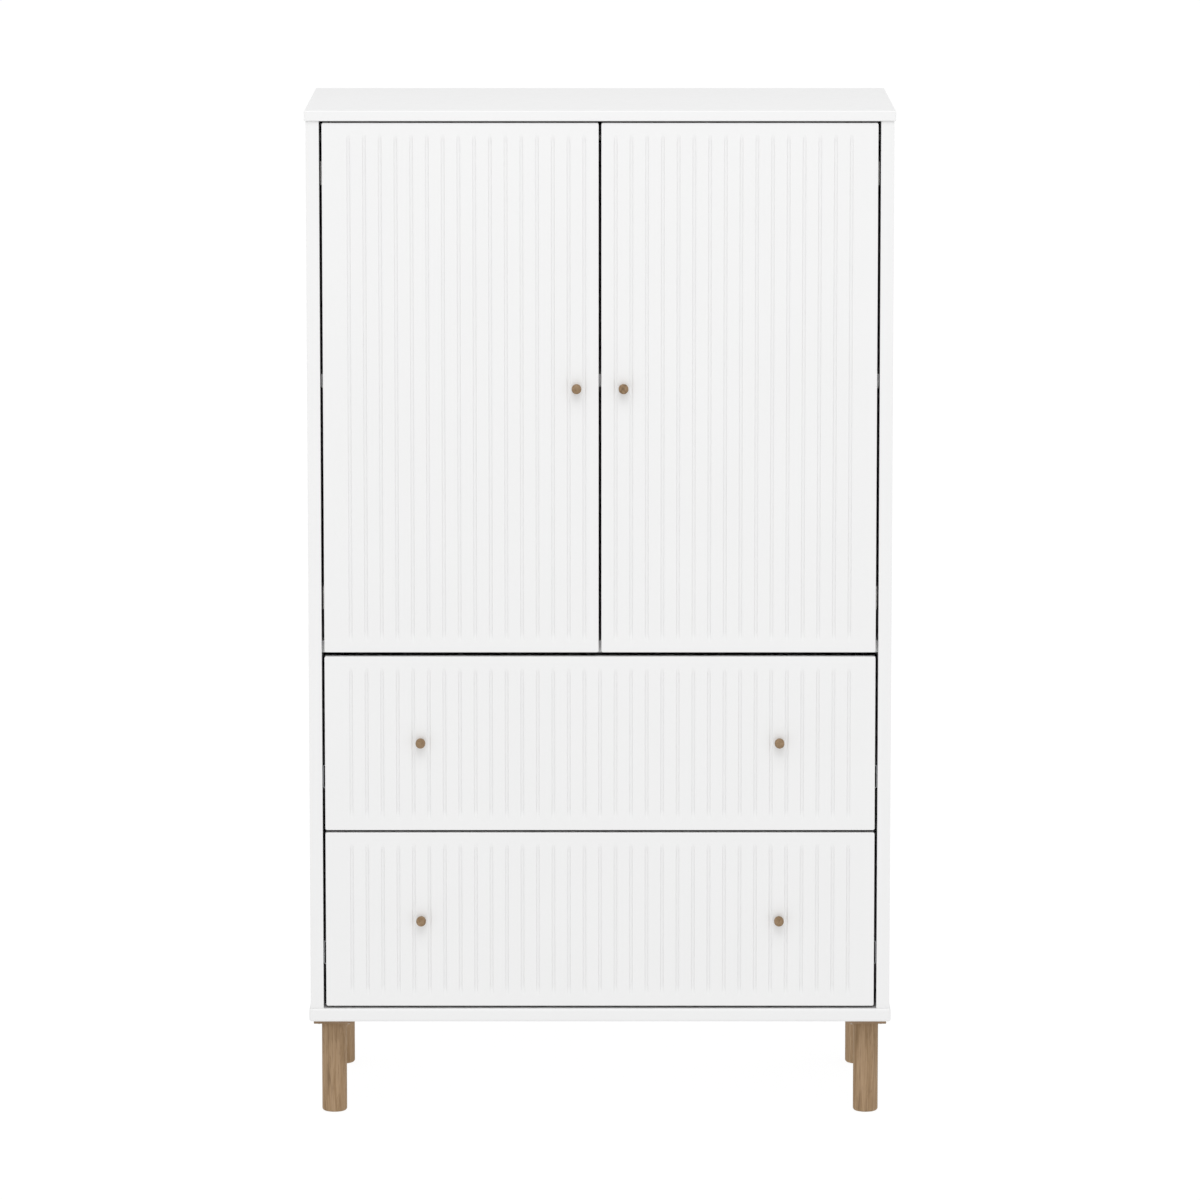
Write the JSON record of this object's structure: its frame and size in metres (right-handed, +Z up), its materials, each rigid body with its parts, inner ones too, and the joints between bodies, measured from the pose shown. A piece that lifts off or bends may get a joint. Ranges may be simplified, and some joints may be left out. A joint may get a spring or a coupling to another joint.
{
  "type": "wardrobe",
  "caption": "White lacquered wardrobe with grooved inset doors over grooved inset drawers, a shelf and clothes rail inside, and round oak legs and knobs.",
  "frame": {"origin": "on the floor, under the centre of the whole object's box", "axes": "+X to the right facing the doors, doors face -Y, +Z up"},
  "size_m": [1.128, 0.594, 1.958],
  "materials": {
    "lacquer": "satin white lacquer on board",
    "liner": "matte white foil on board",
    "oak": "oiled oak, matte",
    "nickel": "nickel plated, satin",
    "zinc": "zinc plated, satin"
  },
  "bodies": {
    "carcass": {"top_panel": "lacquer", "bottom_panel": "lacquer", "side_panel_left": "lacquer", "side_panel_right": "lacquer", "divider_panel": "lacquer", "back_panel": "lacquer", "shelf": "lacquer", "clothes_rail": "nickel", "rail_socket_left": "nickel", "rail_socket_right": "nickel", "shelf_pin_front_left": "nickel", "shelf_pin_front_right": "nickel", "shelf_pin_back_left": "nickel", "shelf_pin_back_right": "nickel", "leg_front_left": "oak", "leg_front_right": "oak", "leg_back_left": "oak", "leg_back_right": "oak", "leg_plate_front_left": "oak", "leg_plate_front_right": "oak", "leg_plate_back_left": "oak", "leg_plate_back_right": "oak", "hinge_arm_lower_left": "nickel", "hinge_arm_lower_right": "nickel", "hinge_arm_upper_left": "nickel", "hinge_arm_upper_right": "nickel", "cabinet_runner_lower_left": "zinc", "cabinet_runner_lower_right": "zinc", "cabinet_runner_upper_left": "zinc", "cabinet_runner_upper_right": "zinc"},
    "door_left": {"door_left": "lacquer", "door_left_knob": "oak", "hinge_cup_lower_left": "nickel", "hinge_cup_upper_left": "nickel"},
    "door_right": {"door_right": "lacquer", "door_right_knob": "oak", "hinge_cup_lower_right": "nickel", "hinge_cup_upper_right": "nickel"},
    "hinge_links_left": {"hinge_link_lower_left": "nickel", "hinge_link_upper_left": "nickel"},
    "hinge_links_right": {"hinge_link_lower_right": "nickel", "hinge_link_upper_right": "nickel"},
    "drawer_lower": {"drawer_lower_front": "lacquer", "drawer_lower_back": "liner", "drawer_lower_bottom": "liner", "drawer_lower_side_left": "liner", "drawer_lower_side_right": "liner", "drawer_lower_knob_left": "oak", "drawer_lower_knob_right": "oak", "drawer_lower_runner_left": "zinc", "drawer_lower_runner_right": "zinc"},
    "drawer_upper": {"drawer_upper_front": "lacquer", "drawer_upper_back": "liner", "drawer_upper_bottom": "liner", "drawer_upper_side_left": "liner", "drawer_upper_side_right": "liner", "drawer_upper_knob_left": "oak", "drawer_upper_knob_right": "oak", "drawer_upper_runner_left": "zinc", "drawer_upper_runner_right": "zinc"}
  },
  "joints": [
    {"name": "door_left_hinge", "type": "hinge", "parent": "carcass", "child": "door_left", "pos_m": [-0.5254, -0.2732, 1.42405], "axis": [0, 0, -1], "range_deg": [0, 100]},
    {"name": "door_right_hinge", "type": "hinge", "parent": "carcass", "child": "door_right", "pos_m": [0.5254, -0.2732, 1.42405], "axis": [0, 0, 1], "range_deg": [0, 100]},
    {"name": "hinge_links_left_turn", "type": "hinge", "parent": "carcass", "child": "hinge_links_left", "pos_m": [-0.4936, -0.255, 1.42405], "axis": [0, 0, 1], "range_deg": [0, 28]},
    {"name": "hinge_links_right_turn", "type": "hinge", "parent": "carcass", "child": "hinge_links_right", "pos_m": [0.4936, -0.255, 1.42405], "axis": [0, 0, -1], "range_deg": [0, 28]},
    {"name": "drawer_lower_slide", "type": "slide", "parent": "carcass", "child": "drawer_lower", "axis": [0, -1, 0], "range_m": [0, 0.37]},
    {"name": "drawer_upper_slide", "type": "slide", "parent": "carcass", "child": "drawer_upper", "axis": [0, -1, 0], "range_m": [0, 0.37]}
  ],
  "couplings": [
    {"joint": "hinge_links_left_turn", "follows": "door_left_hinge", "ratio": 0.28},
    {"joint": "hinge_links_right_turn", "follows": "door_right_hinge", "ratio": 0.28}
  ]
}
